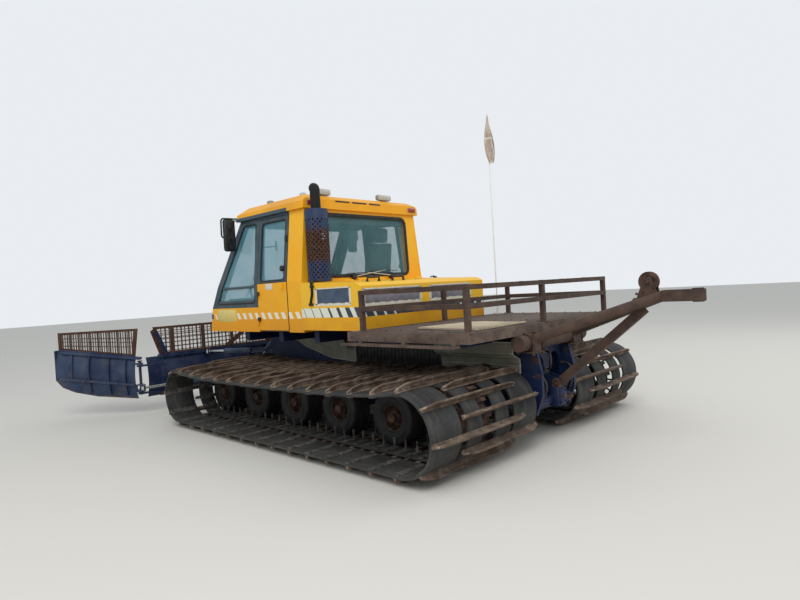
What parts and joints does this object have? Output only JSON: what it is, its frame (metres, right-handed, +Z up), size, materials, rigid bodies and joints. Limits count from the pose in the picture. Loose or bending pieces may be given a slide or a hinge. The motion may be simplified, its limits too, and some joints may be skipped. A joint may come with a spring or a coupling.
{
  "type": "snow groomer",
  "caption": "Tracked snow groomer with a raked yellow cab, folding mesh-topped blade in front, railed work deck and rear A-frame boom.",
  "frame": {"origin": "below the middle of the machine's overall box, on the ground", "axes": "+X forward, +Y to the machine's left, +Z up"},
  "size_m": [8.0037, 5.4078, 3.87],
  "materials": {
    "painted_hull": "dark blue paint, scuffed, with rust",
    "olive_panel": "faded grey-olive paint, dusty",
    "engine_block": "dark engine block",
    "track": "black belting with rusty steel bars",
    "road_wheel": "black tyres on rusty hubs",
    "sprocket": "rusty sprocket",
    "yellow_paint": "amber yellow paint",
    "grille": "grey film on sheet panels, peeling white at the edges",
    "exhaust": "sooty black pipe",
    "guard": "pierced blue guard, rusting",
    "floor": "black floor mat",
    "window_frame": "blue-grey window frames",
    "glass": "greenish safety glass",
    "seat": "dark grey seat cloth",
    "dash": "dark grey moulded plastic",
    "mirror_black": "black mirror housings and tubes",
    "lamp": "clear and red lamps",
    "rusty_steel": "rusty brown steel",
    "plywood": "weathered plywood",
    "pole": "white fibreglass pole",
    "flag": "faded pennant cloth",
    "sheave": "dark cast sheave",
    "ram": "blue-grey ram barrels",
    "rod": "chromed ram rods"
  },
  "bodies": {
    "machine": {"chassis_frame": "painted_hull", "side_panels": "olive_panel", "engine_block": "engine_block", "track_left": "track", "track_right": "track", "road_wheels_left": "road_wheel", "road_wheels_right": "road_wheel", "sprocket_left": "sprocket", "sprocket_right": "sprocket", "engine_hood": "yellow_paint", "hood_panels": "grille", "exhaust_pipe": "exhaust", "exhaust_guard": "guard", "cab_floor": "floor", "cab_rear_wall": "yellow_paint", "cab_side_left": "yellow_paint", "cab_side_right": "yellow_paint", "cab_nose": "yellow_paint", "window_frame": "window_frame", "cab_roof": "yellow_paint", "windscreen": "glass", "rear_window": "glass", "side_windows": "glass", "seats": "seat", "dashboard": "dash", "mirrors": "mirror_black", "roof_lamps": "lamp", "deck_frame": "rusty_steel", "deck_boards": "plywood", "deck_rails": "rusty_steel", "flag_pole": "pole", "flag": "flag", "rear_lift_frame": "painted_hull", "boom": "rusty_steel", "boom_strut": "rusty_steel"},
    "door_left": {"door_left": "yellow_paint", "door_glass_left": "glass"},
    "door_right": {"door_right": "yellow_paint", "door_glass_right": "glass"},
    "hood_lid": {"hood_lid": "yellow_paint"},
    "sheave": {"boom_sheave": "sheave"},
    "push_frame": {"push_frame": "painted_hull"},
    "lift_barrels": {"lift_barrels": "ram"},
    "lift_rods": {"lift_rods": "rod"},
    "blade": {"blade": "painted_hull"},
    "wing_left": {"wing_left": "painted_hull"},
    "wing_right": {"wing_right": "painted_hull"},
    "angle_barrel_left": {"angle_barrel_left": "ram"},
    "angle_rod_left": {"angle_rod_left": "rod"},
    "angle_barrel_right": {"angle_barrel_right": "ram"},
    "angle_rod_right": {"angle_rod_right": "rod"},
    "wing_barrel_left": {"wing_barrel_left": "ram"},
    "wing_rod_left": {"wing_rod_left": "rod"},
    "wing_barrel_right": {"wing_barrel_right": "ram"},
    "wing_rod_right": {"wing_rod_right": "rod"}
  },
  "joints": [
    {"name": "door_left_hinge", "type": "hinge", "parent": "machine", "child": "door_left", "pos_m": [1.06106, 1.082, 1.455], "axis": [0, 0, -1], "range_deg": [0, 75]},
    {"name": "door_right_hinge", "type": "hinge", "parent": "machine", "child": "door_right", "pos_m": [1.06106, -1.082, 1.455], "axis": [0, 0, 1], "range_deg": [0, 75]},
    {"name": "hood_lid_hinge", "type": "hinge", "parent": "machine", "child": "hood_lid", "pos_m": [-0.25494, 0, 1.741], "axis": [0, 1, 0], "range_deg": [0, 70]},
    {"name": "sheave_spin", "type": "hinge", "parent": "machine", "child": "sheave", "pos_m": [-3.54194, 0, 1.54], "axis": [0, 1, 0], "continuous": true},
    {"name": "blade_lift", "type": "hinge", "parent": "machine", "child": "push_frame", "pos_m": [1.99806, 0, 0.42], "axis": [0, -1, 0], "range_deg": [-10, 15]},
    {"name": "blade_angle", "type": "hinge", "parent": "push_frame", "child": "blade", "pos_m": [2.84806, 0, 0.52], "axis": [0, 0, 1], "range_deg": [-15, 15]},
    {"name": "wing_left_fold", "type": "hinge", "parent": "blade", "child": "wing_left", "pos_m": [3.11806, 1.82, 0.5], "axis": [0, 0, 1], "range_deg": [-25, 45]},
    {"name": "wing_right_fold", "type": "hinge", "parent": "blade", "child": "wing_right", "pos_m": [3.11806, -1.82, 0.5], "axis": [0, 0, -1], "range_deg": [-25, 45]},
    {"name": "lift_barrel_swing", "type": "hinge", "parent": "machine", "child": "lift_barrels", "pos_m": [2.01806, 0, 1], "axis": [0, -1, 0], "range_deg": [-7, 10]},
    {"name": "lift_rod_slide", "type": "slide", "parent": "lift_barrels", "child": "lift_rods", "axis": [0.8448, 0, -0.5351], "range_m": [-0.145, 0.1]},
    {"name": "angle_barrel_left_swing", "type": "hinge", "parent": "push_frame", "child": "angle_barrel_left", "pos_m": [2.34806, 0.45, 0.8], "axis": [0, 0, 1], "range_deg": [-11, 11]},
    {"name": "angle_rod_left_slide", "type": "slide", "parent": "angle_barrel_left", "child": "angle_rod_left", "axis": [0.8863, 0.463, 0], "range_m": [-0.175, 0.175]},
    {"name": "wing_barrel_left_swing", "type": "hinge", "parent": "blade", "child": "wing_barrel_left", "pos_m": [2.98019, 0.8, 0.394], "axis": [0, 0, 1], "range_deg": [-2, 2]},
    {"name": "wing_rod_left_slide", "type": "slide", "parent": "wing_barrel_left", "child": "wing_rod_left", "axis": [0, 1, 0], "range_m": [-0.11, 0.065]},
    {"name": "angle_barrel_right_swing", "type": "hinge", "parent": "push_frame", "child": "angle_barrel_right", "pos_m": [2.34806, -0.45, 0.8], "axis": [0, 0, 1], "range_deg": [-11, 11]},
    {"name": "angle_rod_right_slide", "type": "slide", "parent": "angle_barrel_right", "child": "angle_rod_right", "axis": [0.8863, -0.463, 0], "range_m": [-0.175, 0.175]},
    {"name": "wing_barrel_right_swing", "type": "hinge", "parent": "blade", "child": "wing_barrel_right", "pos_m": [2.98019, -0.8, 0.394], "axis": [0, 0, -1], "range_deg": [-2, 2]},
    {"name": "wing_rod_right_slide", "type": "slide", "parent": "wing_barrel_right", "child": "wing_rod_right", "axis": [0, -1, 0], "range_m": [-0.11, 0.065]}
  ],
  "couplings": [
    {"joint": "lift_barrel_swing", "follows": "blade_lift", "ratio": 0.597},
    {"joint": "lift_rod_slide", "follows": "blade_lift", "m_per_rad": -0.508},
    {"joint": "angle_barrel_left_swing", "follows": "blade_angle", "ratio": 0.7},
    {"joint": "angle_rod_left_slide", "follows": "blade_angle", "m_per_rad": -0.6276},
    {"joint": "wing_barrel_left_swing", "follows": "wing_left_fold", "ratio": -0.01},
    {"joint": "wing_rod_left_slide", "follows": "wing_left_fold", "m_per_rad": -0.1315},
    {"joint": "angle_barrel_right_swing", "follows": "blade_angle", "ratio": 0.7},
    {"joint": "angle_rod_right_slide", "follows": "blade_angle", "m_per_rad": 0.6276},
    {"joint": "wing_barrel_right_swing", "follows": "wing_right_fold", "ratio": -0.01},
    {"joint": "wing_rod_right_slide", "follows": "wing_right_fold", "m_per_rad": -0.1315}
  ]
}
